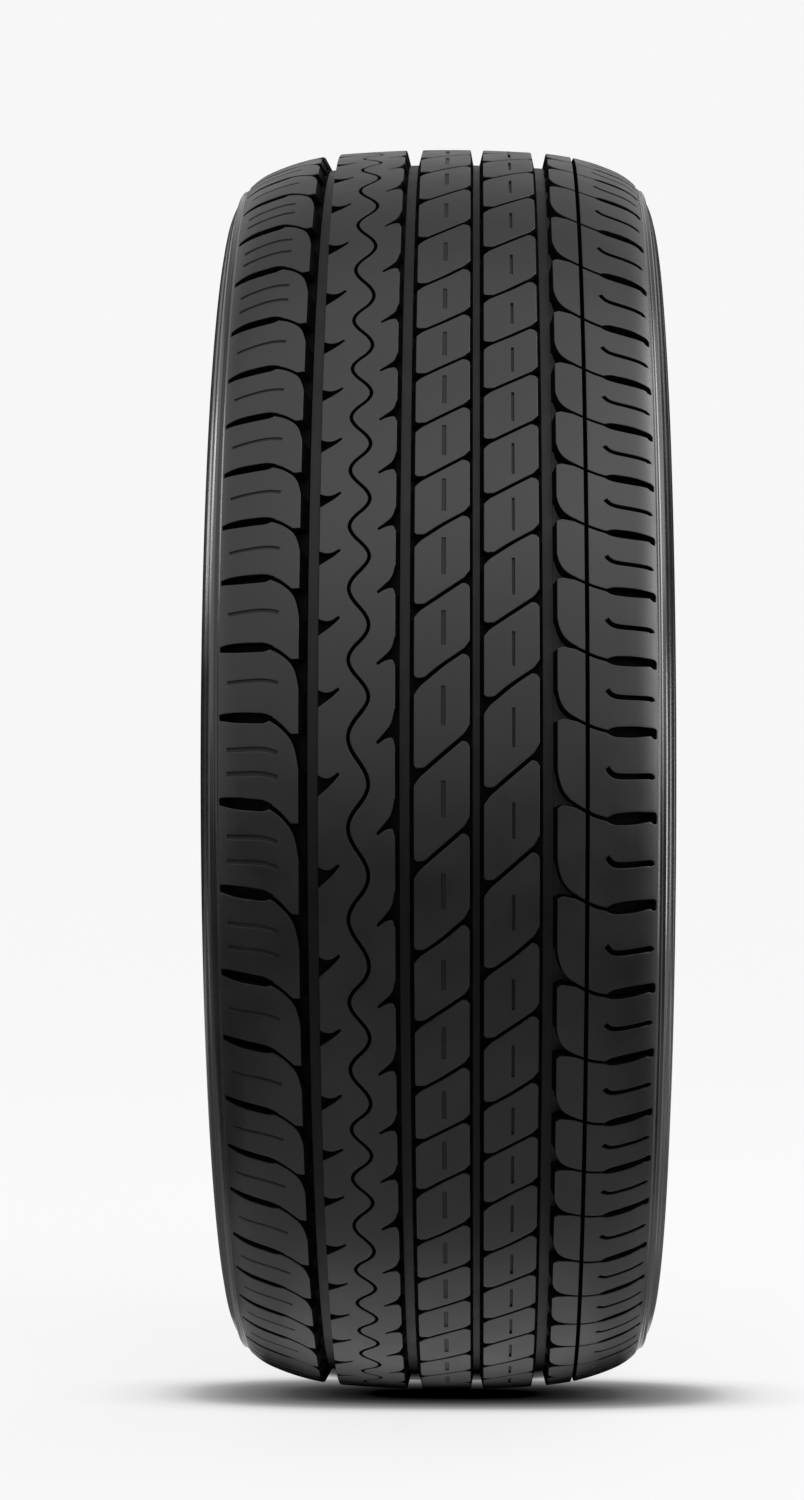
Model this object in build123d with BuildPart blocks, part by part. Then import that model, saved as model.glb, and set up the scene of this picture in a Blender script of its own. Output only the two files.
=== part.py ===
# Car tyre, moulded as one piece: 205 mm section on a 16 inch rim, standing on its tread.
# Millimetres. The spin axis is Y and the origin is the wheel centre, with Z up.
# The ring is swept round a regular polygon whose flats lie within a millimetre of the circle,
# and the turned bead seats are true cylinders.

import os
from math import asin, cos, radians, sin, sqrt, tan

from build123d import *

# Outside of the section
tread_radius = 316.0
section_width = 211.0
crown_radius = 650.0
crown_half = 50.0
land_radius = 110.0
land_half = 86.0
shoulder_steps = 3
sidewall_steps = 3
ring_sides = 46

# Bead, for a rim 6.5 inches wide between its flanges
rim_width = 165.1
bead_seat_radius = 202.8
bead_seat_length = 11.5
heel_chamfer = 6.0
toe_width = 2.5
toe_lip = 1.2
flange_radius = 221.0
flange_half = 91.5
flange_flat = 8.0

# Wall thickness
crown_wall = 14.5
crown_inner_half = 70.0
sidewall = 7.0
lower_sidewall_radius = 236.0

# Grooves round the tread: middle of each across the tread, and its width
groove_middles = (-55.4, -14.2, 16.7, 47.4)
groove_widths = (7.9, 8.2, 5.8, 7.4)
groove_depth = 7.5
groove_draft = 0.9

# Pitches, from the one on the floor up the front and round: short, medium and long
pitch_sequence = "LSMMSMSSSMSSMMLLLMMSSSSMLLMMSSMLLMSSMMLLMSSSMMSMLLMMSSMLMSMLMS"
pitch_ratios = {"S": 1.0, "M": 1.18, "L": 1.45}

# Sipes that rise across the two ribs right of the middle, with a flare at each groove
sipe_width = 1.2
sipe_depth = 6.3
sipe_slope = 36.0
flare_width = 6.0
flare_height = 6.5

# Slots across both shoulders, which run into the outer grooves past a cut corner
slot_width = 4.0
slot_depth = 5.5
slot_start = 73.0
slot_end = 95.0
tail_fall = 7.0
tail_slope = 25.0
corner_width = 9.5
corner_height = 11.0

# Where each row of cuts stands in its pitch, in degrees: sipes from its lower end, slots from its upper end
left_sipe_offset = 3.3
right_sipe_offset = 1.8
left_slot_offset = -0.6
right_slot_offset = -1.7

overcut = 1.5  # how far each cut starts outside the rubber


def tread_r(y):
    # radius of the tread surface at y across the tread: a flat crown, then a rounder land
    if abs(y) <= crown_half:
        return tread_radius - crown_radius + sqrt(crown_radius**2 - y**2)
    lean = asin(crown_half / crown_radius)
    middle = crown_half - land_radius * sin(lean)
    base = tread_r(crown_half) - land_radius * cos(lean)
    return base + sqrt(land_radius**2 - (abs(y) - middle) ** 2)


def groove_points(middle, width):
    # a groove's outline across the tread, from its left edge to its right edge
    low = middle - width / 2
    high = middle + width / 2
    floor = tread_r(middle) - groove_depth
    return [
        (tread_r(low), low),
        (floor, low + groove_draft),
        (floor, high - groove_draft),
        (tread_r(high), high),
    ]


# The shoulder is an arc that leaves the land smoothly and ends upright at the full width
half_width = section_width / 2
land_lean = asin(crown_half / crown_radius)
land_middle = crown_half - land_radius * sin(land_lean)
shoulder_lean = asin((land_half - land_middle) / land_radius)
shoulder_radius = (half_width - land_half) / (1 - sin(shoulder_lean))
shoulder_y = half_width - shoulder_radius
shoulder_r = tread_r(land_half) - shoulder_radius * cos(shoulder_lean)
shoulder_turn = radians(90) - shoulder_lean

# The sidewall is an arc from there down to the rim flange
sidewall_drop = shoulder_r - flange_radius
sidewall_inset = half_width - flange_half
sidewall_radius = (sidewall_drop**2 + sidewall_inset**2) / (2 * sidewall_inset)
sidewall_turn = asin(sidewall_drop / sidewall_radius)

bead_half = rim_width / 2
bore_radius = bead_seat_radius - toe_lip
toe_half = bead_half - heel_chamfer - bead_seat_length - toe_width


def side_points():
    # one side of the section, as (radius, distance across), from the shoulder to the inner crown
    points = []
    for step in range(shoulder_steps):
        turn = shoulder_lean + shoulder_turn * step / shoulder_steps
        points.append((shoulder_r + shoulder_radius * cos(turn), shoulder_y + shoulder_radius * sin(turn)))
    for step in range(sidewall_steps + 1):
        turn = sidewall_turn * step / sidewall_steps
        inset = sidewall_radius * (1 - cos(turn))
        points.append((shoulder_r - sidewall_radius * sin(turn), half_width - inset))
    points.append((bead_seat_radius + flange_flat, bead_half))
    points.append((bore_radius, bead_half))
    points.append((bore_radius, toe_half))
    points.append((lower_sidewall_radius, flange_half))
    points.append((shoulder_r, half_width - sidewall))
    points.append((tread_radius - crown_wall, crown_inner_half))
    return points


# Pitches: where each begins, in degrees up the front from the bottom
pitch_unit = 360 / sum(pitch_ratios[letter] for letter in pitch_sequence)
pitch_angles = {letter: pitch_unit * ratio for letter, ratio in pitch_ratios.items()}
pitch_starts = [-90 - pitch_angles[pitch_sequence[0]] / 2]
for letter in pitch_sequence[:-1]:
    pitch_starts.append(pitch_starts[-1] + pitch_angles[letter])

# The tread's slope from the outer grooves to the shoulders
land_start = groove_middles[3] + groove_widths[3] / 2
land_slope = (tread_r(land_start) - tread_r(land_half)) / (land_half - land_start)
land_angle = asin(land_slope / sqrt(1 + land_slope**2))
land_top = tread_r(land_half) + land_half * land_slope


def facing(elevation, lean, height):
    # a plane that faces out of the tread, with x across it and y up the front
    out = Vector(cos(lean), sin(lean), 0).rotate(Axis.Y, -elevation)
    across = Vector(-sin(lean), cos(lean), 0).rotate(Axis.Y, -elevation)
    origin = Vector(height, 0, 0).rotate(Axis.Y, -elevation)
    return Plane(origin=origin, x_dir=across, z_dir=out)


def prism(plane, points, depth):
    # a cut of this outline, from outside the tread to its floor
    with BuildPart() as cut:
        with BuildSketch(plane.offset(overcut)):
            with BuildLine():
                Polyline(*points, close=True)
            make_face()
        extrude(amount=-depth - overcut)
    return cut.part


def sipe_points(low, high, scale):
    # a sipe that rises across a rib and flares out where it meets each groove
    slope = tan(radians(sipe_slope)) * scale
    rise = (high - low) / 2 * slope
    half = sipe_width / 2 / cos(radians(sipe_slope))
    return [
        (low - overcut, -rise - overcut * slope + half),
        (high - flare_width, rise - flare_width * slope + half),
        (high + overcut, rise + flare_height * scale),
        (high + overcut, rise + overcut * slope - half),
        (low + flare_width, -rise + flare_width * slope - half),
        (low - overcut, -rise - flare_height * scale),
    ]


def left_slot_points(mouth, scale):
    # a slot that tapers to its outer end, with a tail that falls into the groove
    fall = tail_fall * scale
    return [
        (-slot_end, 0),
        (-slot_start, slot_width / 2 * scale),
        (mouth + overcut, -fall),
        (mouth + overcut, -fall - corner_height * scale),
        (mouth - corner_width, -fall / 2),
    ]


def right_slot_points(mouth, scale):
    # a slot with a square outer end, with a tail that climbs to the groove
    half = slot_width / 2 * scale
    slope = tan(radians(tail_slope)) * scale
    climb = (slot_start - mouth) * slope
    return [
        (slot_end, -half),
        (slot_end, half),
        (slot_start, half),
        (mouth + corner_width, climb - corner_width * slope + sipe_width),
        (mouth - overcut, climb + corner_height * scale),
        (mouth - overcut, climb - sipe_width / 2),
        (slot_start, -half),
    ]


def pitch_cuts(letter):
    # the cuts of one pitch of this length, standing with its lower end at the front
    scale = pitch_ratios[letter] / pitch_ratios["M"]
    top = pitch_angles[letter]
    low = [middle - width / 2 for middle, width in zip(groove_middles, groove_widths)]
    high = [middle + width / 2 for middle, width in zip(groove_middles, groove_widths)]
    slant = cos(land_angle)
    left = [(y / slant, z) for y, z in left_slot_points(low[0], scale)]
    right = [(y / slant, z) for y, z in right_slot_points(high[3], scale)]
    return [
        prism(facing(left_sipe_offset, 0, tread_radius), sipe_points(high[1], low[2], scale), sipe_depth),
        prism(facing(right_sipe_offset, 0, tread_radius), sipe_points(high[2], low[3], scale), sipe_depth),
        prism(facing(top + left_slot_offset, -land_angle, land_top), left, slot_depth),
        prism(facing(top + right_slot_offset, land_angle, land_top), right, slot_depth),
    ]


with BuildPart() as tyre:
    # The ring, with one flat of the polygon on the floor
    half_side = radians(180 / ring_sides)
    floor_middle = (0, -tread_radius * cos(half_side))
    turns = [half_side * (2 * side + 1) for side in range(ring_sides)]
    with BuildLine(Plane.XZ) as ring:
        corners = [(tread_radius * sin(turn), -tread_radius * cos(turn)) for turn in turns]
        Polyline(floor_middle, *corners, floor_middle)
    outline = []
    for middle, width in zip(groove_middles, groove_widths):
        outline += groove_points(middle, width)
    outline += side_points()
    outline += [(r, -y) for r, y in reversed(side_points())]
    with BuildSketch(Plane(origin=(0, 0, 0), x_dir=(0, 0, -1), z_dir=(1, 0, 0))):
        with BuildLine():
            Polyline(*[(r * cos(half_side), y) for r, y in outline], close=True)
        make_face()
    sweep(path=ring.line, transition=Transition.RIGHT)

    # Turned bead seats and heels
    seat_outer = bead_half - heel_chamfer
    with BuildSketch(Plane.XY):
        with BuildLine():
            Polyline(
                (0, seat_outer - bead_seat_length),
                (bead_seat_radius, seat_outer - bead_seat_length),
                (bead_seat_radius, seat_outer),
                (bead_seat_radius + heel_chamfer, bead_half),
                (0, bead_half),
                close=True,
            )
        make_face()
        mirror(about=Plane.XZ)
    revolve(axis=Axis.Y, mode=Mode.SUBTRACT)

    # Sipes and slots, pitch by pitch
    for letter in pitch_ratios:
        starts = [start for start, each in zip(pitch_starts, pitch_sequence) if each == letter]
        with Locations(*[Rotation(0, -start, 0) for start in starts]):
            add(pitch_cuts(letter), mode=Mode.SUBTRACT)

os.makedirs("parts", exist_ok=True)
tyre.part.label = "tyre"
export_step(tyre.part, "parts/tyre.step")
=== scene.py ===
from math import asin, cos, pi, radians, sin, sqrt, tan

import bpy
import numpy as np
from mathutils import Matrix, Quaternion, Vector


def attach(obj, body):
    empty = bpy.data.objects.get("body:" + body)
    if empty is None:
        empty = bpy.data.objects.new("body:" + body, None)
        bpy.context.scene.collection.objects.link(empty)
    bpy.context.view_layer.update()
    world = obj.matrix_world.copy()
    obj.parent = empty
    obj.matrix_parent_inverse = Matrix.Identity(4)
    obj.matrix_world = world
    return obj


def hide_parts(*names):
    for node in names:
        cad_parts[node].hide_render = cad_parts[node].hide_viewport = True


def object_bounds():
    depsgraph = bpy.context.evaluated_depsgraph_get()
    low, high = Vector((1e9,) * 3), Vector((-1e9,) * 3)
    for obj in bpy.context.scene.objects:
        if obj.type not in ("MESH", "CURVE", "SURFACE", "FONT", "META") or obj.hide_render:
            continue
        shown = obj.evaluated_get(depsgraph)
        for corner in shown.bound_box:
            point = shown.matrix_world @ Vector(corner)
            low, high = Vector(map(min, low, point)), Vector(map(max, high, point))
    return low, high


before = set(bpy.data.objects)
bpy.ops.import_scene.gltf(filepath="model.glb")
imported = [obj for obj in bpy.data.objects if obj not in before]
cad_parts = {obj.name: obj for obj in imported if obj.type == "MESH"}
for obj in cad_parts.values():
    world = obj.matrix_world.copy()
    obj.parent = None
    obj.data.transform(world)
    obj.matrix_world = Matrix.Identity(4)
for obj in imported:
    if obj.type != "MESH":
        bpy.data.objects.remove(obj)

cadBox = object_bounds()
bpy.context.scene.view_settings.view_transform = "Standard"
print("frame loaded")

perMetre = 1000  # the tyre's own sizes are in millimetres, the studio's in metres

# Outside of the tyre: distance across the tread against radius
section = {
    "treadRadius": 316.0,
    "halfWidth": 105.5,
    "crownRadius": 650.0,
    "crownHalf": 50.0,
    "landRadius": 110.0,
    "landHalf": 86.0,
    "flangeRadius": 221.0,
    "flangeHalf": 91.5,
    "grooveDepth": 7.5,
    "steepest": 0.999,  # sine of the most that the shoulder leans
}

# Three lengths of pitch follow each other round the tread, from the floor up the front
pitches = {
    "order": "LSMMSMSSSMSSMMLLLMMSSSSMLLLMSSMLMMSSMMLLMSSSMMSMLLMMSSMLMSMLMS",
    "ratios": {"S": 1.0, "M": 1.18, "L": 1.45},
    "length": 32.18,  # of a medium pitch, at which every row is drawn flat
    "floorAt": -90,  # degrees round the tyre: the middle of the first pitch stands on the floor
    # the tread is a little stretched towards the floor: degrees round the tyre, and the shift there
    "creep": [(-93.6, -1.4), (-55, -1.05), (-35, -0.3), (-15, 0.05), (0, 0.25), (7, 0), (15, -0.1), (38, 0),
              (47, -0.35), (90, -0.35), (180, -0.6), (266.4, -1.4)],
}
pitch = pitches["length"]


def findArcs():
    # where the arcs of the land and the shoulder have their middles, each tangent to the one before
    s = section
    lean = asin(s["crownHalf"] / s["crownRadius"])
    crownEdge = s["treadRadius"] - s["crownRadius"] + sqrt(s["crownRadius"] ** 2 - s["crownHalf"] ** 2)
    landMiddle = s["crownHalf"] - s["landRadius"] * sin(lean)
    landBase = crownEdge - s["landRadius"] * cos(lean)
    landLean = asin((s["landHalf"] - landMiddle) / s["landRadius"])
    shoulderRadius = (s["halfWidth"] - s["landHalf"]) / (1 - sin(landLean))
    landEdge = landBase + s["landRadius"] * cos(landLean)
    return {
        "landMiddle": landMiddle,
        "landBase": landBase,
        "shoulderRadius": shoulderRadius,
        "shoulderMiddle": s["halfWidth"] - shoulderRadius,
        "shoulderBase": landEdge - shoulderRadius * cos(landLean),
    }


arcs = findArcs()


def treadSurface(across):
    # radius of the tread at each place across it, and how far its face leans outwards there
    s = section
    side = np.abs(across)
    zones = [side < s["crownHalf"], side < s["landHalf"]]
    middle = np.select(zones, [0, arcs["landMiddle"]], arcs["shoulderMiddle"])
    bend = np.select(zones, [s["crownRadius"], s["landRadius"]], arcs["shoulderRadius"])
    base = np.select(zones, [s["treadRadius"] - s["crownRadius"], arcs["landBase"]], arcs["shoulderBase"])
    lean = np.arcsin(np.clip((side - middle) / bend, 0, s["steepest"]))
    return base + bend * np.cos(lean), lean * np.sign(across)


def pitchStarts():
    unit = 360 / sum(pitches["ratios"][letter] for letter in pitches["order"])
    steps = [unit * pitches["ratios"][letter] for letter in pitches["order"]]
    turns = np.concatenate([[0], np.cumsum(steps)]) + pitches["floorAt"] - steps[0] / 2
    spots, shifts = np.array(pitches["creep"]).T
    return np.radians(turns + np.interp(turns, spots, shifts))


starts = pitchStarts()


def only(piece):
    if bpy.context.mode != "OBJECT":
        bpy.ops.object.mode_set(mode="OBJECT")
    bpy.ops.object.select_all(action="DESELECT")
    piece.select_set(True)
    bpy.context.view_layer.objects.active = piece


def applyModifier(piece, kind, **settings):
    only(piece)
    modifier = piece.modifiers.new(kind.title(), kind)
    for name, value in settings.items():
        setattr(modifier, name, value)
    bpy.ops.object.modifier_apply(modifier=modifier.name)


def selectEdges(piece, keys):
    only(piece)
    bpy.ops.object.mode_set(mode="EDIT")
    bpy.ops.mesh.select_mode(type="EDGE")
    bpy.ops.mesh.select_all(action="DESELECT")
    bpy.ops.object.mode_set(mode="OBJECT")
    for edge in piece.data.edges:
        edge.select = edge.key in keys
    bpy.ops.object.mode_set(mode="EDIT")


# Cutters for the pattern, which is drawn flat: x is across, y is along the tread, and its face is at zero
cutters = {
    "above": 1.0,  # their top, over the tread face
    "cornerSegments": 4,
    "repeats": 2,  # pitches that they also cut before the one that is kept, and as many after it
    "sortSpot": (-150.31, -90.77, 23.13),  # beside the flat rows and off all their lines
}


def flatSpot(across, along):
    return round(across, 3), round(along, 3)  # to a thousandth of a millimetre


def drawOutline(corners, depth, shrink=1.0, about=(0, 0)):
    # a cutter of this outline: each corner has its own rounding, and the foot shrinks about one point
    bpy.ops.object.select_all(action="DESELECT")
    bpy.ops.mesh.primitive_circle_add(vertices=len(corners), fill_type="NGON")
    cutter = bpy.context.object
    top = cutters["above"]
    for vertex, corner in zip(cutter.data.vertices, corners):
        vertex.co = (corner[0], corner[1], top)
    bpy.ops.object.mode_set(mode="EDIT")
    bpy.ops.mesh.select_all(action="SELECT")
    bpy.ops.mesh.extrude_region_move(TRANSFORM_OT_translate={"value": (0, 0, -depth - top)})
    for rounding in sorted({corner[2] for corner in corners if corner[2] > 0}):
        bpy.ops.object.mode_set(mode="OBJECT")
        spots = {flatSpot(corner[0], corner[1]) for corner in corners if corner[2] == rounding}
        places = [flatSpot(vertex.co.x, vertex.co.y) for vertex in cutter.data.vertices]
        keys = [edge.key for edge in cutter.data.edges]
        upright = {key for key in keys if places[key[0]] == places[key[1]] and places[key[0]] in spots}
        selectEdges(cutter, upright)
        bpy.ops.mesh.bevel(offset=rounding, offset_type="OFFSET", segments=cutters["cornerSegments"],
                           affect="EDGES", clamp_overlap=True)
    bpy.ops.mesh.select_all(action="SELECT")
    bpy.ops.mesh.normals_make_consistent(inside=False)
    bpy.ops.object.mode_set(mode="OBJECT")
    for vertex in cutter.data.vertices:
        if vertex.co.z < 0:
            vertex.co.x = about[0] + (vertex.co.x - about[0]) * shrink
            vertex.co.y = about[1] + (vertex.co.y - about[1]) * shrink
    return cutter


def drawSipe(line, width, depth, detail=4):
    # a thin cutter along a smooth line
    bpy.ops.object.select_all(action="DESELECT")
    bpy.ops.curve.primitive_nurbs_path_add()
    cutter = bpy.context.object
    curve = cutter.data
    curve.splines.clear()
    spline = curve.splines.new("NURBS")
    spline.points.add(len(line) - 1)
    for point, (across, along) in zip(spline.points, line):
        point.co = (across, along, 0, 1)
    spline.order_u = 3
    spline.use_endpoint_u = True
    spline.resolution_u = detail
    curve.dimensions = "2D"
    curve.fill_mode = "NONE"
    curve.extrude = depth
    bpy.ops.object.convert(target="MESH")
    cutter = bpy.context.object
    applyModifier(cutter, "SOLIDIFY", thickness=width, offset=0, use_even_offset=True)
    only(cutter)
    bpy.ops.object.mode_set(mode="EDIT")
    bpy.ops.mesh.select_all(action="SELECT")
    bpy.ops.mesh.normals_make_consistent(inside=False)
    bpy.ops.object.mode_set(mode="OBJECT")
    return cutter


def cutOut(plate, cutter):
    # the mesh is then sorted by its distance from one spot, so that it has the same order in every run
    applyModifier(plate, "BOOLEAN", operation="DIFFERENCE", solver="EXACT", object=cutter)
    bpy.data.objects.remove(cutter)
    bpy.ops.object.mode_set(mode="EDIT")
    bpy.ops.mesh.select_all(action="SELECT")
    bpy.context.scene.cursor.location = cutters["sortSpot"]
    bpy.ops.mesh.sort_elements(type="CURSOR_DISTANCE", elements={"VERT", "EDGE", "FACE"})
    bpy.context.scene.cursor.location = (0, 0, 0)
    bpy.ops.object.mode_set(mode="OBJECT")


def cutRow(plate, cutter, along):
    # the cut repeats in the pitches before and after, so the row can be laid end to end
    repeats = cutters["repeats"]
    for vertex in cutter.data.vertices:
        vertex.co.y += along - repeats * pitch
    applyModifier(cutter, "ARRAY", count=2 * repeats + 1, use_relative_offset=False, use_constant_offset=True,
                  constant_offset_displace=(0, pitch, 0))
    cutOut(plate, cutter)


# What all five rows of the tread share
ribs = {
    "depth": 8.0,  # down to a rib's foot, just under the groove floor
    "softEdge": 0.35,
    "edgeSegments": 2,
    "steps": 6,  # parts of a pitch, so that it can bend round the tyre
    "treadUp": 0.9,  # how far up a tread face looks, where 1 is straight up
    "floorUp": 0.7,  # and the floor of a cut
    "sameLine": 0.01,
    "skin": 0.5,  # a face deeper than this belongs to a cut
    "blackShadeDepths": (1.5, 6.9),  # painted shade: a cut's floor is black between these depths, and grey above and below
    "flatGap": 0.01,  # closed at the seams before the row is bent
    "bentGap": 0.005,  # and after
}


def startRow(name, low, high, flareLow, flareHigh):
    # three pitches of a plain rib, wider at its foot where it stands in a groove
    bpy.ops.object.select_all(action="DESELECT")
    bpy.ops.mesh.primitive_cube_add(size=1, location=(0, 0, 0))
    plate = bpy.context.object
    plate.name = name
    for material in (treadRubber, cutShadeRubber, floorShadeRubber):
        plate.data.materials.append(material)
    for vertex in plate.data.vertices:
        top = vertex.co.z > 0
        right = vertex.co.x > 0
        across = (high if top else high + flareHigh) if right else (low if top else low - flareLow)
        along = 2 * pitch if vertex.co.y > 0 else -pitch
        vertex.co = (across, along, 0 if top else -ribs["depth"])
    return plate


def finishRow(plate, crossLines, plain=None):
    # soften the rim of every cut, but not a plain side, then keep one pitch and divide it
    r = ribs
    rims = {}
    for face in plate.data.polygons:
        if face.normal.z > r["treadUp"]:
            for key in face.edge_keys:
                rims[key] = rims.get(key, 0) + 1
    ends = set()
    if plain is not None:
        away = [abs(vertex.co.x - plain) for vertex in plate.data.vertices]
        ends = {key for key in rims if max(away[key[0]], away[key[1]]) < r["sameLine"]}
    selectEdges(plate, {key for key, count in rims.items() if count == 1} - ends)
    bpy.ops.mesh.bevel(offset=r["softEdge"], offset_type="OFFSET", segments=r["edgeSegments"], affect="EDGES",
                       clamp_overlap=False, loop_slide=False)
    cuts = [((0, 0, 0), (0, 1, 0), True, False), ((0, pitch, 0), (0, 1, 0), False, True)]
    cuts += [((0, pitch * step / r["steps"], 0), (0, 1, 0), False, False) for step in range(1, r["steps"])]
    cuts += [((across, 0, 0), (1, 0, 0), False, False) for across in crossLines]
    for middle, normal, inner, outer in cuts:
        bpy.ops.mesh.select_all(action="SELECT")
        bpy.ops.mesh.bisect(plane_co=middle, plane_no=normal, clear_inner=inner, clear_outer=outer)
    bpy.ops.object.mode_set(mode="OBJECT")
    # painted shade in the cuts: walls and the floors between two depths near black, other floors darker grey
    shadedCut, shadedFloor = 1, 2  # places of the row's rubbers, after the tread's own
    shallow, wide = r["blackShadeDepths"]
    for face in plate.data.polygons:
        deep = -face.center.z
        if deep > r["skin"]:
            lit = face.normal.z > r["floorUp"] and not shallow < deep < wide
            face.material_index = shadedFloor if lit else shadedCut


def layRow(name, units):
    # copies of the row's pitches, end to end, in the order that they have round the tread
    copies = []
    for place, letter in enumerate(pitches["order"]):
        copy = bpy.data.objects.new(name, units[letter].data.copy())
        bpy.context.collection.objects.link(copy)
        for vertex in copy.data.vertices:
            vertex.co.y += place * pitch
        copies.append(copy)
    only(copies[0])
    for copy in copies:
        copy.select_set(True)
    bpy.ops.object.join()
    row = bpy.context.object
    for unit in set(units.values()):
        bpy.data.objects.remove(unit)
    row.name = name
    return row


def closeSeams(piece, gap):
    only(piece)
    bpy.ops.object.mode_set(mode="EDIT")
    bpy.ops.mesh.select_all(action="SELECT")
    bpy.ops.mesh.remove_doubles(threshold=gap)
    bpy.ops.mesh.normals_make_consistent(inside=False)
    bpy.ops.object.mode_set(mode="OBJECT")


def rowTurns(mark, pitchEnd, degrees):
    # a row's cut keeps its angle from the start or end of every pitch, long or short
    turns = (starts[1:] if pitchEnd else starts[:-1]) + radians(degrees)
    turns = np.concatenate([[turns[-1] - 2 * pi], turns, [turns[0] + 2 * pi]])
    return np.arange(len(turns)) - 1 + mark / pitch, turns


def wrapRow(row, mark, pitchEnd, degrees):
    # from flat millimetres to metres round the spin axis, with the lowest rubber flat on the floor
    flat = np.empty(len(row.data.vertices) * 3)
    row.data.vertices.foreach_get("co", flat)
    across, along, height = flat.reshape(-1, 3).T
    radius, lean = treadSurface(across)
    turn = np.interp(along / pitch, *rowTurns(mark, pitchEnd, degrees))
    radius = radius + height * np.cos(lean)
    across = across + height * np.sin(lean)
    wrapped = np.stack([radius * np.cos(turn), across, radius * np.sin(turn)], axis=1) / perMetre
    wrapped[:, 2] = np.maximum(wrapped[:, 2], cadBox[0][2])
    row.data.vertices.foreach_set("co", wrapped.ravel())
    row.data.update()


smoothing = {
    "angle": 40,
    "faceWeight": 60,  # wide faces stay flat up to their soft edges
}


def finishPiece(piece):
    only(piece)
    bpy.ops.object.shade_smooth_by_angle(angle=radians(smoothing["angle"]))
    applyModifier(piece, "WEIGHTED_NORMAL", keep_sharp=True, weight=smoothing["faceWeight"])
    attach(piece, "root")
    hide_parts("tyre")


# Finishes: grey on the tread faces, painted shade of near black in the cuts and darker grey on their floors,
# satin on the walls, dull inside.
# The size of a patch and of the grain, and the grain's depth, are in millimetres
finishes = {
    "treadRubber": {"dark": 0.008, "pale": 0.0105, "patch": 18, "rough": (0.36, 0.43), "shine": 0.5,
                    "grain": 0.45, "depth": 0.04},
    # the next two are painted shade, darker than the tread: near black for the cuts, darker grey for groove
    # floors
    "cutShadeRubber": {"dark": 0.0015, "pale": 0.0022, "patch": 18, "rough": (0.55, 0.65), "shine": 0.04,
                     "grain": 0.45, "depth": 0.04},
    "floorShadeRubber": {"dark": 0.005, "pale": 0.007, "patch": 18, "rough": (0.45, 0.55), "shine": 0.3,
                    "grain": 0.6, "depth": 0.04},
    "ringRubber": {"dark": 0.012, "pale": 0.015, "patch": 30, "rough": (0.2, 0.26), "shine": 1.0,
                   "grain": 0.35, "depth": 0.02},
    "sidewallRubber": {"dark": 0.009, "pale": 0.012, "patch": 30, "rough": (0.22, 0.29), "shine": 0.5,
                       "grain": 0.35, "depth": 0.03},
    "innerLiner": {"dark": 0.012, "pale": 0.018, "patch": 24, "rough": (0.42, 0.55), "shine": 0.5,
                   "grain": 0.9, "depth": 0.08},
}
rubberMix = {
    "patchDetail": 4,
    "patchEnds": (0.3, 0.7),  # of the noise, where a patch is all dark and all pale
    "blue": 1.03,
    "grainDetail": 2,
    "bump": 0.35,
}


def makeRubber(name):
    # broad patches change colour and gloss a little, and a fine grain breaks up the shine
    look, mix = finishes[name], rubberMix
    material = bpy.data.materials.new(name)
    material.use_nodes = True
    nodes, links = material.node_tree.nodes, material.node_tree.links
    shader = nodes["Principled BSDF"]
    shader.inputs["Specular IOR Level"].default_value = look["shine"]
    place = nodes.new("ShaderNodeTexCoord")
    patch = nodes.new("ShaderNodeTexNoise")
    patch.inputs["Scale"].default_value = perMetre / look["patch"]
    patch.inputs["Detail"].default_value = mix["patchDetail"]
    links.new(place.outputs["Object"], patch.inputs["Vector"])
    tint = nodes.new("ShaderNodeValToRGB")
    for stop, level, spot in zip(tint.color_ramp.elements, (look["dark"], look["pale"]), mix["patchEnds"]):
        stop.position = spot
        stop.color = (level, level, level * mix["blue"], 1)
    links.new(patch.outputs["Fac"], tint.inputs["Fac"])
    links.new(tint.outputs["Color"], shader.inputs["Base Color"])
    gloss = nodes.new("ShaderNodeMapRange")
    gloss.inputs["From Min"].default_value, gloss.inputs["From Max"].default_value = mix["patchEnds"]
    gloss.inputs["To Min"].default_value, gloss.inputs["To Max"].default_value = look["rough"]
    links.new(patch.outputs["Fac"], gloss.inputs["Value"])
    links.new(gloss.outputs["Result"], shader.inputs["Roughness"])
    grain = nodes.new("ShaderNodeTexNoise")
    grain.inputs["Scale"].default_value = perMetre / look["grain"]
    grain.inputs["Detail"].default_value = mix["grainDetail"]
    links.new(place.outputs["Object"], grain.inputs["Vector"])
    bump = nodes.new("ShaderNodeBump")
    bump.inputs["Strength"].default_value = mix["bump"]
    bump.inputs["Distance"].default_value = look["depth"] / perMetre
    links.new(grain.outputs["Fac"], bump.inputs["Height"])
    links.new(bump.outputs["Normal"], shader.inputs["Normal"])
    return material


rubbers = [makeRubber(name) for name in finishes]
treadRubber, cutShadeRubber, floorShadeRubber, ringRubber, sidewallRubber, innerLiner = rubbers
print("finishes ready")

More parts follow.
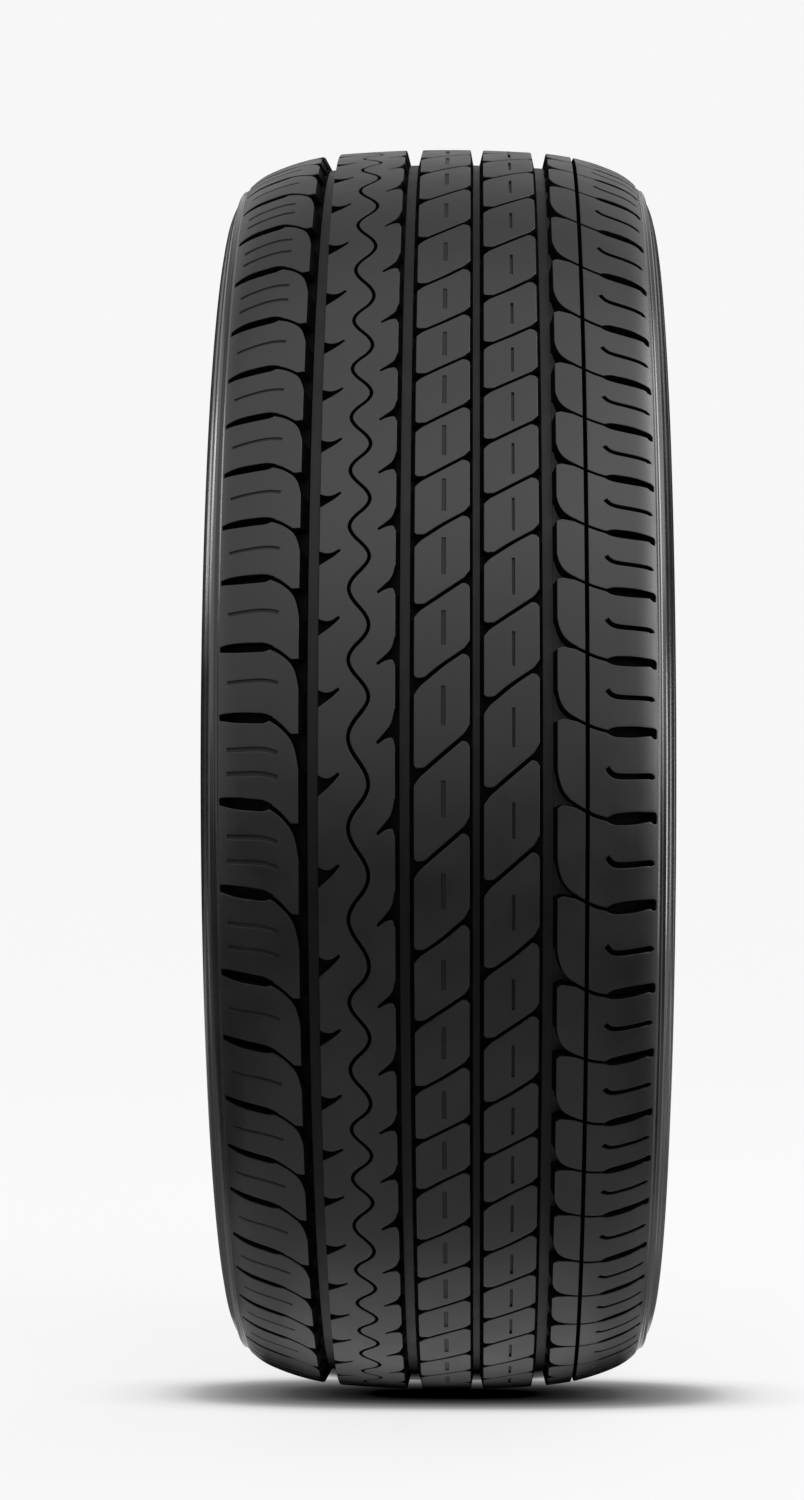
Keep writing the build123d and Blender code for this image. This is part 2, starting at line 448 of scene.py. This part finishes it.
# Left shoulder: wide tapered slots whose tails fall into the groove past a round corner
leftShoulder = {
    "low": -95.5,
    "high": -60.1,
    "draft": 2.9,
    "slotAt": 28.88,
    "slot": [(-95.0, 2.3, 0.3), (-92.8, 2.7, 1), (-88, 3.0, 3), (-75, 2.3, 2), (-70.8, 0.4, 0.6),
             (-74.2, -1.9, 2), (-88, -1.4, 3), (-92.8, -0.5, 1), (-95.0, -0.2, 0.3)],
    "slotDepth": 6.0,
    "tail": [(-73.5, 1.2, 0), (-70, -0.3, 2), (-65.9, -3.4, 3), (-63.2, -6.0, 0.6), (-60.9, -5.9, 0.6),
             (-56.5, -5.9, 0), (-56.5, -21, 0), (-60.1, -18, 0), (-60.7, -14, 4), (-62.4, -9, 5),
             (-65.9, -5, 4), (-70, -2.2, 2), (-73.5, -0.6, 0)],
    "tailDepth": 6.5,
    "sipe": [(-91.5, 0.35), (-86, 0.45), (-79, 0.8), (-72.5, 0.3), (-69, -0.95)],
    "sipeAt": {"M": (13.3,), "L": (7.96, 16.97)},
    "sipeWidth": 1.5,
    "sipeDepth": 0.7,
    "crossLines": [-94.2, -93, -91, -88.5, -86, -82, -78, -73, -67],  # closer where the shoulder is round
    "turn": -0.75,  # degrees, here and in the other rows
}


def buildLeftShoulder():
    s = leftShoulder
    units = {}
    for letter, places in s["sipeAt"].items():
        plate = startRow("leftShoulder", s["low"], s["high"], 0, s["draft"])
        cutRow(plate, drawOutline(s["slot"], s["slotDepth"]), s["slotAt"])
        cutRow(plate, drawOutline(s["tail"], s["tailDepth"]), s["slotAt"])
        for place in places:
            cutRow(plate, drawSipe(s["sipe"], s["sipeWidth"], s["sipeDepth"]), place)
        finishRow(plate, s["crossLines"], s["low"])
        units[letter] = plate
    units["S"] = units["M"]
    return layRow("leftShoulder", units)


# Wave rib: one unbroken rib with a wavy sipe and a thorn-shaped notch at each side of every pitch
waveRib = {
    "low": -51.45,
    "high": -18.3,
    "drafts": (1.3, 1.8),
    "waveLeft": -38.5,
    "waveRight": -29.7,
    "waveLeftAt": 21.9,
    "waveRightAt": 5.2,
    "waveRound": 3.5,
    "waveWidth": 1.5,
    "waveDepth": 6.5,
    "leftNotchAt": 7.2,
    "leftNotch": [(-54, 1.2, 0), (-51.4, 1.1, 0.3), (-49.2, 0, 1), (-46.2, -0.1, 1.5), (-42.7, 2.2, 0.3),
                  (-42.2, 1.3, 0.3), (-45.4, -2.0, 2), (-48.8, -4.5, 2), (-51.3, -6.4, 0), (-54, -7, 0)],
    "rightNotchAt": 21.7,
    "rightNotch": [(-16, -2.4, 0), (-18.4, -2.4, 0), (-19.2, 0.3, 1), (-22.3, -0.1, 1.5), (-25.8, -2.3, 0.3),
                   (-26.3, -1.4, 0.3), (-22.6, 2.0, 2), (-19.8, 4.8, 3), (-18.4, 10.5, 0), (-16, 11.5, 0)],
    "notchDepth": 6.5,
    "crossLines": [-43, -34, -26],
    "turn": -0.1,
}


def buildWaveRib():
    s = waveRib
    plate = startRow("waveRib", s["low"], s["high"], *s["drafts"])
    crests = [(s["waveRight"], s["waveRightAt"]), (s["waveLeft"], s["waveLeftAt"])]
    line = []
    for turn in range(-cutters["repeats"], cutters["repeats"] + 2):
        for crest, place in crests:
            along = place + turn * pitch
            line += [(crest, along - s["waveRound"]), (crest, along + s["waveRound"])]
    cutOut(plate, drawSipe(line, s["waveWidth"], s["waveDepth"]))
    cutRow(plate, drawOutline(s["leftNotch"], s["notchDepth"]), s["leftNotchAt"])
    cutRow(plate, drawOutline(s["rightNotch"], s["notchDepth"]), s["rightNotchAt"])
    finishRow(plate, s["crossLines"])
    return layRow("waveRib", {letter: plate for letter in pitches["ratios"]})


# Block ribs: slanting sipes that open into both grooves, and a short upright sipe in each block
blockRibs = {
    "middleBlocks": {"low": -10.1, "high": 13.8, "drafts": (2.3, 1.6), "sipeAt": 18.1, "turn": 3.3,
                     "dashAcross": 2.5, "dashAt": 2.9, "dashWidth": 1.7, "dashDepth": 0.6},
    "rightBlocks": {"low": 20.0, "high": 43.8, "drafts": (1.7, 2.3), "sipeAt": 9.93, "turn": 1.8,
                    "dashAcross": 32.7, "dashAt": 26.0, "dashWidth": 1.1, "dashDepth": 1.1},
    "slope": 35.0,  # degrees
    "sipePast": 1.5,  # the sipe runs on this far past the rib
    "sipeWidth": 1.5,
    "sipeDepth": 6.5,
    "dashLength": 15.4,
    # mouths of the sipe, measured inwards from the rib's edge
    "leftMouth": [(-2.5, 5.0, 0), (0, 4.8, 0), (0.8, 3.7, 0.9), (4.8, 4.0, 0), (4.8, 2.7, 0),
                  (2.4, 0.9, 2.5), (0, -2.2, 0), (-2.5, -2.8, 0)],
    "rightMouth": [(-2.5, 5.4, 0), (0, 5.2, 0), (1.0, 3.4, 1.2), (3.6, 3.2, 0), (3.6, 2.0, 0),
                   (2.4, 0.9, 2.5), (0, -2.6, 0), (-2.5, -3.2, 0)],
    "mouthDepth": 6.8,
    "edgeLine": 8,  # a cross line this far inside each edge
}


def buildBlockRib(name):
    s = blockRibs
    rib = s[name]
    low, high = rib["low"], rib["high"]
    middle = (low + high) / 2
    slope = tan(radians(s["slope"]))
    reach = high - middle + s["sipePast"]
    rise = (high - middle) * slope
    sipe = [(middle + reach * third / 3, reach * third / 3 * slope) for third in (-3, -1, 1, 3)]
    leftMouth = [(low + x, y - rise, rounding) for x, y, rounding in s["leftMouth"]]
    rightMouth = [(high - x, rise - y, rounding) for x, y, rounding in s["rightMouth"]]
    units = {}
    for letter, ratio in pitches["ratios"].items():
        plate = startRow(name, low, high, *rib["drafts"])
        cutRow(plate, drawSipe(sipe, s["sipeWidth"], s["sipeDepth"], detail=2), rib["sipeAt"])
        cutRow(plate, drawOutline(leftMouth, s["mouthDepth"]), rib["sipeAt"])
        cutRow(plate, drawOutline(rightMouth, s["mouthDepth"]), rib["sipeAt"])
        half = s["dashLength"] / 2 * pitches["ratios"]["M"] / ratio  # so that it is as long in every pitch
        dash = [(rib["dashAcross"], half * part / 2) for part in (-2, -1, 1, 2)]
        cutRow(plate, drawSipe(dash, rib["dashWidth"], rib["dashDepth"], detail=1), rib["dashAt"])
        finishRow(plate, [low + s["edgeLine"], middle, high - s["edgeLine"]])
        units[letter] = plate
    return layRow(name, units)


# Right shoulder: square-ended slots, a thin groove all the way round, a sipe that climbs to the wide groove
rightShoulder = {
    "low": 51.6,
    "high": 95.5,
    "draft": 1.2,
    "slotAt": 22.78,
    "slot": [(72.0, 0.3, 0.3), (75.5, 2.4, 2), (85, 3.0, 3), (94.0, 2.4, 0.6), (94.9, 1.4, 0.6),
             (94.8, -2.0, 0.4), (93.5, -2.1, 0.4), (92.3, -0.9, 0.8), (84, -1.8, 3), (75.5, -1.6, 2)],
    "slotDepth": 6.0,
    "corner": [(46.5, 19.4, 0), (51.6, 19.0, 0), (52.7, 13.4, 5), (55.8, 8.6, 5), (60.8, 5.9, 0),
               (60.8, 4.7, 0), (57.2, 5.35, 1.5), (53.6, 6.0, 1.0), (51.9, 4.8, 0.8), (46.5, 4.4, 0)],
    "cornerDepth": 7.0,
    "cornerDraft": (0.91, (46.5, 5.0)),  # its foot is this much smaller, drawn in to this point in the groove
    "climb": [(59.5, 5.6), (64.1, 3.4), (69, 1.3), (74, 0.3)],
    "climbWidth": 1.3,
    "climbDepth": 6.0,
    "thinGroove": 64.5,
    "thinWidth": 1.75,
    "thinDepth": 5.0,
    "sipeAt": 6.14,
    "sipe": [(73.0, 3.7), (74.1, 2.0), (77, 0.5), (84, 0.5), (90, 0.6), (92.8, 0.55), (93.0, -0.6)],
    "sipeWidth": 2.1,
    "sipeDepth": 5.0,
    "crossLines": [67, 73, 78, 82, 86, 88.5, 91, 93, 94.2],
    "turn": -1.9,
}


def buildRightShoulder():
    s = rightShoulder
    plate = startRow("rightShoulder", s["low"], s["high"], s["draft"], 0)
    cutRow(plate, drawOutline(s["slot"], s["slotDepth"]), s["slotAt"])
    cutRow(plate, drawOutline(s["corner"], s["cornerDepth"], *s["cornerDraft"]), s["slotAt"])
    cutRow(plate, drawSipe(s["climb"], s["climbWidth"], s["climbDepth"]), s["slotAt"])
    cutRow(plate, drawSipe(s["sipe"], s["sipeWidth"], s["sipeDepth"]), s["sipeAt"])
    thinLine = [(s["thinGroove"], turn * pitch) for turn in (-2, 0, 3)]  # past both ends of the plate
    cutOut(plate, drawSipe(thinLine, s["thinWidth"], s["thinDepth"], detail=1))
    finishRow(plate, s["crossLines"], s["high"])
    return layRow("rightShoulder", {letter: plate for letter in pitches["ratios"]})


# Each row, the cut that places it, whether that keeps to its pitch's end, and its turn from there in degrees
rows = [
    (buildLeftShoulder(), leftShoulder["slotAt"], True, leftShoulder["turn"]),
    (buildWaveRib(), 0, False, waveRib["turn"]),
]
for name in ("middleBlocks", "rightBlocks"):
    rows.append((buildBlockRib(name), blockRibs[name]["sipeAt"], False, blockRibs[name]["turn"]))
rows.append((buildRightShoulder(), rightShoulder["slotAt"], True, rightShoulder["turn"]))

for row, mark, pitchEnd, degrees in rows:
    closeSeams(row, ribs["flatGap"])
    wrapRow(row, mark, pitchEnd, degrees)
    closeSeams(row, ribs["bentGap"] / perMetre)
    finishPiece(row)
    print("row", row.name, len(row.data.polygons), "faces")

# Casing: groove floors, sidewalls with plain rings, beads and inner wall, spun from one section
casing = {
    "turns": 248,
    "seam": 95.3,  # across, just inside the outer ends of the shoulder rows
    "seamDrop": 0.12,  # the wall starts this far under the tread
    "seamReach": 25.0,  # and comes out to its own line this far down
    "floorLine": [0, 6, 12, 19.6, 26, 32, 38, 44, 50, 56, 62, 68, 74, 80, 85, 90],  # under the tread
    # each ring is a radius, a width and a height
    "rings": [(297.4, 1.4, -0.45), (294.6, 1.5, 0.85), (290.8, 2.2, -0.2), (284.0, 2.0, -0.4),
              (262.0, 1.6, 0.5), (258.0, 1.6, 0.5), (241.0, 3.0, -0.5), (230.0, 9.0, 1.6)],
    "ringTop": 0.25,  # from a ring's middle to the ends of its flat top and of its foot, in widths
    "ringFoot": 0.75,
    "wallSteps": 36,
    # each wall is a little flatter round one radius: the radius, the reach and the trim
    "flatWall": {"right": (272.0, 26.0, 1.0), "left": (270.0, 14.0, 1.4)},
    # radius and distance across, round the bead and up the inner wall
    "bead": [(216.5, 86.6), (212.6, 84.0), (209.2, 82.55), (206.5, 81.6), (204.2, 79.6), (202.95, 77.2),
             (202.8, 76.55), (202.8, 71.0), (202.8, 65.05), (202.3, 63.4), (202.2, 62.9), (203.0, 62.55),
             (204.6, 63.1)],
    "inside": [(208, 66.5), (218, 77), (236, 88.5), (255, 96.5), (272, 97.8), (288, 92), (298, 80),
               (301.2, 66), (301.5, 50), (301.5, 25), (301.5, 0)],
    "closeGap": 0.005,  # closed where the turn meets its start
    "floorFrom": 285.0,  # groove floors lie outside this radius
    "floorInset": 6.0,  # and end this far inside the seam
    "floorOut": 0.5,  # how far outwards a groove floor looks, where 1 is straight out
    "linerOut": -0.2,  # and the liner inside the tread
    "linerHalf": 97.0,
    "shinyRing": 295.2,
    "shinyHalf": 0.7,
}


def sidewallPoint(radius):
    # the bare wall: how far out it stands at this radius, and its lean
    s = section
    if radius > arcs["shoulderBase"]:
        lean = asin(min((radius - arcs["shoulderBase"]) / arcs["shoulderRadius"], 1))
        return arcs["shoulderMiddle"] + arcs["shoulderRadius"] * cos(lean), lean
    drop = arcs["shoulderBase"] - s["flangeRadius"]
    inset = s["halfWidth"] - s["flangeHalf"]
    bend = (drop**2 + inset**2) / (2 * inset)
    lean = -asin((arcs["shoulderBase"] - radius) / bend)
    return s["halfWidth"] - bend * (1 - cos(lean)), lean


def ringHeight(radius):
    top, foot = casing["ringTop"], casing["ringFoot"]
    height = 0.0
    for middle, width, rise in casing["rings"]:
        away = abs(radius - middle) / width
        height += rise * min(max((foot - away) / (foot - top), 0), 1)
    return height


def casingSide(side):
    # one side of the section, from the middle of the groove floors round to the middle of the inner wall
    c = casing
    depth = section["grooveDepth"]
    points = []
    for across in c["floorLine"] + [c["seam"]]:
        (radius,), (lean,) = treadSurface(np.array([across]))
        points.append((radius - depth * cos(lean), across - depth * sin(lean)))
    top = treadSurface(np.array([c["seam"]]))[0][0]
    low = section["flangeRadius"]
    steps = {top + (low - top) * step / c["wallSteps"] for step in range(c["wallSteps"] + 1)}
    edges = (-c["ringFoot"], -c["ringTop"], c["ringTop"], c["ringFoot"])
    corners = {middle + width * edge for middle, width, rise in c["rings"] for edge in edges}
    flatAt, flatReach, trim = c["flatWall"][side]
    for radius in sorted(steps | corners, reverse=True):
        across, lean = sidewallPoint(radius)
        out = ringHeight(radius) - c["seamDrop"] * max(1 - (top - radius) / c["seamReach"], 0)
        out -= trim * max(1 - ((radius - flatAt) / flatReach) ** 2, 0)
        points.append((radius + out * sin(lean), across + out * cos(lean)))
    return points + c["bead"] + c["inside"]


def buildCasing():
    right = casingSide("right")
    left = [(radius, -across) for radius, across in casingSide("left")[1:-1]]
    loop = right + left[::-1]
    bpy.ops.object.select_all(action="DESELECT")
    bpy.ops.mesh.primitive_circle_add(vertices=len(loop))
    piece = bpy.context.object
    piece.name = "casing"
    for vertex, (radius, across) in zip(piece.data.vertices, loop):
        vertex.co = (radius / perMetre, across / perMetre, 0)
    bpy.ops.object.mode_set(mode="EDIT")
    bpy.ops.mesh.select_all(action="SELECT")
    bpy.ops.mesh.spin(steps=casing["turns"], angle=2 * pi, center=(0, 0, 0), axis=(0, 1, 0))
    bpy.ops.object.mode_set(mode="OBJECT")
    closeSeams(piece, casing["closeGap"] / perMetre)
    return piece


def dressCasing(piece):
    # groove floors face outwards under the ribs and get the darker rubber of painted shade, the liner is the
    # wall inside the beads
    c = casing
    casingRubbers = [floorShadeRubber, sidewallRubber, innerLiner, ringRubber]
    floor, wall, liner, ring = range(len(casingRubbers))
    for material in casingRubbers:
        piece.data.materials.append(material)
    for face in piece.data.polygons:
        middle, out = face.center * perMetre, face.normal
        spoke = Vector((middle.x, 0, middle.z))
        outward = out.dot(spoke.normalized())
        underRibs = spoke.length > c["floorFrom"] and abs(middle.y) < c["seam"] - c["floorInset"]
        if underRibs and outward > c["floorOut"]:
            face.material_index = floor
        elif outward < c["linerOut"] and abs(middle.y) < c["linerHalf"] or out.y * middle.y < 0:
            face.material_index = liner
        elif abs(spoke.length - c["shinyRing"]) < c["shinyHalf"]:
            face.material_index = ring
        else:
            face.material_index = wall


casingPiece = buildCasing()
dressCasing(casingPiece)
finishPiece(casingPiece)
print("casing", len(casingPiece.data.polygons), "faces")

# Floor, light and camera, in metres
onFloor = (-0.313, -0.313)  # heights of the cards' two ends
overFloor = (-0.311, -0.311)
overTyre = (1.5, 1.5)
highUp = (1.9, 1.9)
studio = {
    "floorSize": 12.0,
    "white": 0.93,  # of the floor and the background
    # painted shadows on the floor, soft ovals: place and reach in x and y, and the light left from the rim
    # inwards
    "paintedShadows": {
        "roundContact": ((0.045, 0.005), (0.0655, 0.2),
                         [(0.0, 1.0), (0.1, 0.98), (0.22, 0.88), (0.3, 0.7), (0.37, 0.43), (0.45, 0.25),
                          (0.6, 0.07), (0.7, 0.02), (0.8, 0.0)]),
        "underTyre": ((-0.08, 0.0), (0.10, 0.095), [(0.0, 1.0), (0.05, 0.8), (0.17, 0.1), (0.3, 0.01)]),
    },
    "paintedShadowBlunt": 2.7,  # 2 would be an ellipse
    "glow": 0.9,  # share of that white in what the camera sees of the floor, the rest is lit
    # cards that only the shine sees, each a level and its span in x, y and z
    "cards": {
        "toeCard": (0.0, (-0.2, 0.08), (-0.1, 0.1), onFloor),
        "soleCard": (0.3, (0.08, 0.1), (-0.09, 0.09), onFloor),
        "footCard": (0.72, (0.1, 0.21), (-0.09, 0.09), onFloor),
        "leftFootCard": (0.45, (0.075, 0.21), (-0.22, -0.09), onFloor),
        "rightFootCard": (0.45, (0.075, 0.21), (0.09, 0.22), onFloor),
        "nearCard": (0.33, (0.21, 0.45), (-0.22, 0.22), onFloor),
        "middleCard": (0.2, (0.45, 0.75), (-0.22, 0.22), onFloor),
        "farCard": (0.0, (0.75, 6), (-3, 3), onFloor),
        "leftFrontCard": (0.04, (0.10, 0.75), (-3, -0.22), onFloor),
        "rightFrontCard": (0.0, (0.10, 0.75), (0.22, 3), onFloor),
        "leftCard": (0.15, (-0.8, 0.10), (-3, -0.14), onFloor),
        "rightCard": (0.15, (-0.8, 0.10), (0.14, 3), onFloor),
        "rightLowCard": (0.5, (-0.1, 0.13), (0.22, 0.42), overFloor),
        "rightFloorCard": (0.6, (-0.3, 0.25), (0.42, 1.5), overFloor),
        "rightFarCard": (1.0, (0.25, 0.38), (0.78, 1.4), overFloor),
        "leftLowFlag": (0.08, (-1.2, 1.2), (-2.0, -2.0), (-0.3, 0.15)),
        "leftSideCard": (0.3, (-1.2, 1.2), (-2.0, -2.0), (0.15, 1.0)),
        "leftFlag": (0.25, (2.0, 2.0), (-3.5, -0.8), (-0.3, 0.25)),
        "rightFlag": (0.3, (2.0, 2.0), (0.9, 3.5), (-0.3, 0.2)),
        "backCard": (0.0, (-1.2, -1.2), (-4, 4), (-0.3, 0.7)),
        "topCard": (0.4, (-1.0, -0.02), (-2, 2), overTyre),
        "behindCard": (0.64, (-2.5, -1.0), (-2, 2), overTyre),
        "overCard": (1.2, (-0.02, 1.2), (-0.7, 0.7), highUp),
        "leftHighCard": (1.2, (-0.02, 2.8), (-2.6, -0.7), highUp),
        "rightHighCard": (1.7, (-0.02, 2.8), (0.7, 2.6), highUp),
    },
    "lamps": {
        "sideLamp": {"place": (-0.05, 1.4, 0.8), "aim": (-0.05, 0, 0.8), "roll": 49,
                     "size": (1.9, 0.6), "watts": 19.0},
        "frontLamp": {"place": (1.5, 0.25, 1.7), "aim": (0.25, 0, 0.1), "roll": 0,
                      "size": (2.6, 1.6), "watts": 10.0},
        "rightRimLamp": {"place": (-0.33, 1.3, -0.06), "aim": (0.29, 0.1, -0.05), "roll": 0,
                         "size": (0.22, 0.5), "watts": 2.3},
        "leftRimLamp": {"place": (-0.58, -1.25, 0.5), "aim": (0.2, -0.1, 0.15), "roll": 0,
                        "size": (0.3, 0.4), "watts": 2.2},
    },
    "distance": 1.833,
    "aside": 0.0173,
    "lens": 84.96,  # millimetres, as the sensor is
    "sensor": 36,
    "photoHeight": 1500,
    # the line of sight, aside and up from straight ahead, in the photograph's pixels
    "sightPixels": (-75.8, 19),
}


def addMath(nodes, links, operation, *values):
    node = nodes.new("ShaderNodeMath")
    node.operation = operation
    for socket, value in zip(node.inputs, values):
        if isinstance(value, float):
            socket.default_value = value
        else:
            links.new(value, socket)
    return node.outputs[0]


def addPaintedShadow(nodes, links, place, spot, reach, levels):
    # one painted shadow, a soft oval blunter than an ellipse
    blunt = studio["paintedShadowBlunt"]
    oval = nodes.new("ShaderNodeMapping")
    oval.inputs["Scale"].default_value = (1 / reach[0], 1 / reach[1], 0)
    oval.inputs["Location"].default_value = (-spot[0] / reach[0], -spot[1] / reach[1], 0)
    links.new(place.outputs["Object"], oval.inputs["Vector"])
    sides = nodes.new("ShaderNodeSeparateXYZ")
    links.new(oval.outputs["Vector"], sides.inputs[0])
    spans = [addMath(nodes, links, "ABSOLUTE", sides.outputs[axis]) for axis in "XY"]
    powers = [addMath(nodes, links, "POWER", span, blunt) for span in spans]
    away = addMath(nodes, links, "POWER", addMath(nodes, links, "ADD", *powers), 1 / blunt)
    fade = addMath(nodes, links, "SUBTRACT", 1.0, away)
    ramp = nodes.new("ShaderNodeValToRGB")
    stops = ramp.color_ramp.elements
    stops.remove(stops[1])
    for depth, level in levels:
        stop = stops[0] if depth == 0 else stops.new(depth)
        stop.position = depth
        stop.color = (level, level, level, 1)
    links.new(fade, ramp.inputs["Fac"])
    return ramp.outputs["Color"]


def makeFloorPaint():
    # white for what looks straight at it or mirrors it, with painted shadows, soft dark ovals, where the
    # tread meets the floor
    paint = bpy.data.materials.new("paleFloor")
    paint.use_nodes = True
    nodes, links = paint.node_tree.nodes, paint.node_tree.links
    nodes.remove(nodes["Principled BSDF"])
    place = nodes.new("ShaderNodeTexCoord")
    paintedShadows = [addPaintedShadow(nodes, links, place, *shade) for shade in studio["paintedShadows"].values()]
    shadowLevel = addMath(nodes, links, "MINIMUM", *paintedShadows)
    lit = nodes.new("ShaderNodeBsdfDiffuse")
    glow = nodes.new("ShaderNodeEmission")
    links.new(shadowLevel, lit.inputs["Color"])
    links.new(shadowLevel, glow.inputs["Color"])
    glow.inputs["Strength"].default_value = studio["white"]
    ray = nodes.new("ShaderNodeLightPath")
    seen = addMath(nodes, links, "MAXIMUM", ray.outputs["Is Camera Ray"], ray.outputs["Is Glossy Ray"])
    seen = addMath(nodes, links, "MAXIMUM", seen, ray.outputs["Is Transmission Ray"])
    share = addMath(nodes, links, "MULTIPLY", seen, studio["glow"])
    mix = nodes.new("ShaderNodeMixShader")
    links.new(share, mix.inputs["Fac"])
    links.new(lit.outputs[0], mix.inputs[1])
    links.new(glow.outputs[0], mix.inputs[2])
    links.new(mix.outputs[0], nodes["Material Output"].inputs["Surface"])
    paint.cycles.emission_sampling = "NONE"
    return paint


def addSheet(name, corners, material):
    bpy.ops.object.select_all(action="DESELECT")
    bpy.ops.mesh.primitive_circle_add(vertices=len(corners), fill_type="NGON")
    sheet = bpy.context.object
    sheet.name = name
    for vertex, corner in zip(sheet.data.vertices, corners):
        vertex.co = corner
    sheet.data.materials.append(material)
    return sheet


def addCard(name, level, xSpan, ySpan, zSpan):
    (nearX, farX), (lowY, highY), (nearZ, farZ) = xSpan, ySpan, zSpan
    corners = [(nearX, lowY, nearZ), (farX, lowY, farZ), (farX, highY, farZ), (nearX, highY, nearZ)]
    paint = bpy.data.materials.new(name)
    paint.use_nodes = True
    shader = paint.node_tree.nodes["Principled BSDF"]
    shader.inputs["Base Color"].default_value = (0, 0, 0, 1)
    shader.inputs["Specular IOR Level"].default_value = 0
    shader.inputs["Emission Color"].default_value = (1, 1, 1, 1)
    shader.inputs["Emission Strength"].default_value = level
    paint.cycles.emission_sampling = "NONE"
    card = addSheet(name, corners, paint)
    card.visible_camera = card.visible_diffuse = card.visible_shadow = False
    card.visible_transmission = card.visible_volume_scatter = False


def addLamp(name, place, aim, roll, size, watts):
    bpy.ops.object.light_add(type="AREA", location=place)
    lamp = bpy.context.object
    lamp.name = name
    lamp.data.shape = "RECTANGLE"
    lamp.data.size, lamp.data.size_y = size
    lamp.data.energy = watts
    facing = (Vector(aim) - Vector(place)).to_track_quat("-Z", "Y")
    lamp.rotation_euler = (facing @ Quaternion((0, 0, 1), radians(roll))).to_euler()
    lamp.visible_camera = False


def addCamera():
    focalPixels = studio["lens"] / studio["sensor"] * studio["photoHeight"]
    aside, up = studio["sightPixels"]
    bpy.ops.object.camera_add(location=(studio["distance"], studio["aside"], 0))
    camera = bpy.context.object
    camera.data.sensor_fit = "VERTICAL"
    camera.data.sensor_height = studio["sensor"]
    camera.data.lens = studio["lens"]
    sight = Vector((-1, aside / focalPixels, up / focalPixels))
    camera.rotation_euler = sight.to_track_quat("-Z", "Y").to_euler()
    bpy.context.scene.camera = camera


def buildStudio():
    half, ground = studio["floorSize"] / 2, cadBox[0][2]
    floorCorners = [(x * half, y * half, ground) for x, y in ((-1, -1), (1, -1), (1, 1), (-1, 1))]
    addSheet("floor", floorCorners, makeFloorPaint())
    for name, card in studio["cards"].items():
        addCard(name, *card)
    for name, lamp in studio["lamps"].items():
        addLamp(name, **lamp)
    world = bpy.data.worlds.new("studioWorld")
    world.use_nodes = True
    sky = world.node_tree.nodes["Background"]
    sky.inputs["Color"].default_value = (1, 1, 1, 1)
    sky.inputs["Strength"].default_value = studio["white"]
    bpy.context.scene.world = world
    addCamera()


buildStudio()
print("studio ready")
